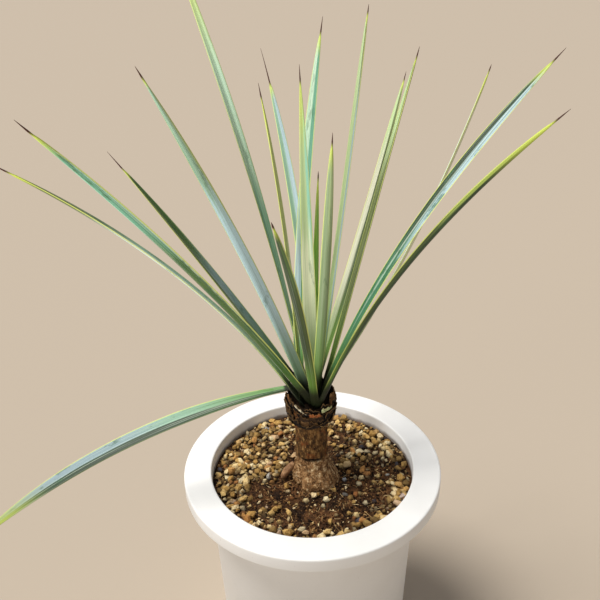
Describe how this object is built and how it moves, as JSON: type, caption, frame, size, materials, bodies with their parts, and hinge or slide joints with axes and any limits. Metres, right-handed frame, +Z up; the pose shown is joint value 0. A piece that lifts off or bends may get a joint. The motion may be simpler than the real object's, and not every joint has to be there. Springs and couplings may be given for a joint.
{
  "type": "potted yucca",
  "caption": "Young yucca with stiff blue-green sword leaves on a short trunk, in a round white pot with a wide flat rim.",
  "frame": {"origin": "middle of the pot's flat underside, on its axis", "axes": "+Z up along the pot's axis, -Y towards the viewer of the front view, +X to that viewer's right"},
  "size_m": [0.3446, 0.2826, 0.496],
  "materials": {
    "pot": "satin",
    "soil": "matte",
    "trunk": "matte",
    "leaf": "satin"
  },
  "bodies": {
    "root": {"pot": "pot", "soil": "soil", "trunk": "trunk", "leaf_01": "leaf", "leaf_02": "leaf", "leaf_03": "leaf", "leaf_04": "leaf", "leaf_05": "leaf", "leaf_06": "leaf", "leaf_07": "leaf", "leaf_08": "leaf", "leaf_09": "leaf", "leaf_10": "leaf", "leaf_11": "leaf", "leaf_12": "leaf", "leaf_13": "leaf", "leaf_14": "leaf", "leaf_15": "leaf", "leaf_16": "leaf", "leaf_17": "leaf", "leaf_18": "leaf", "leaf_19": "leaf"}
  },
  "joints": []
}
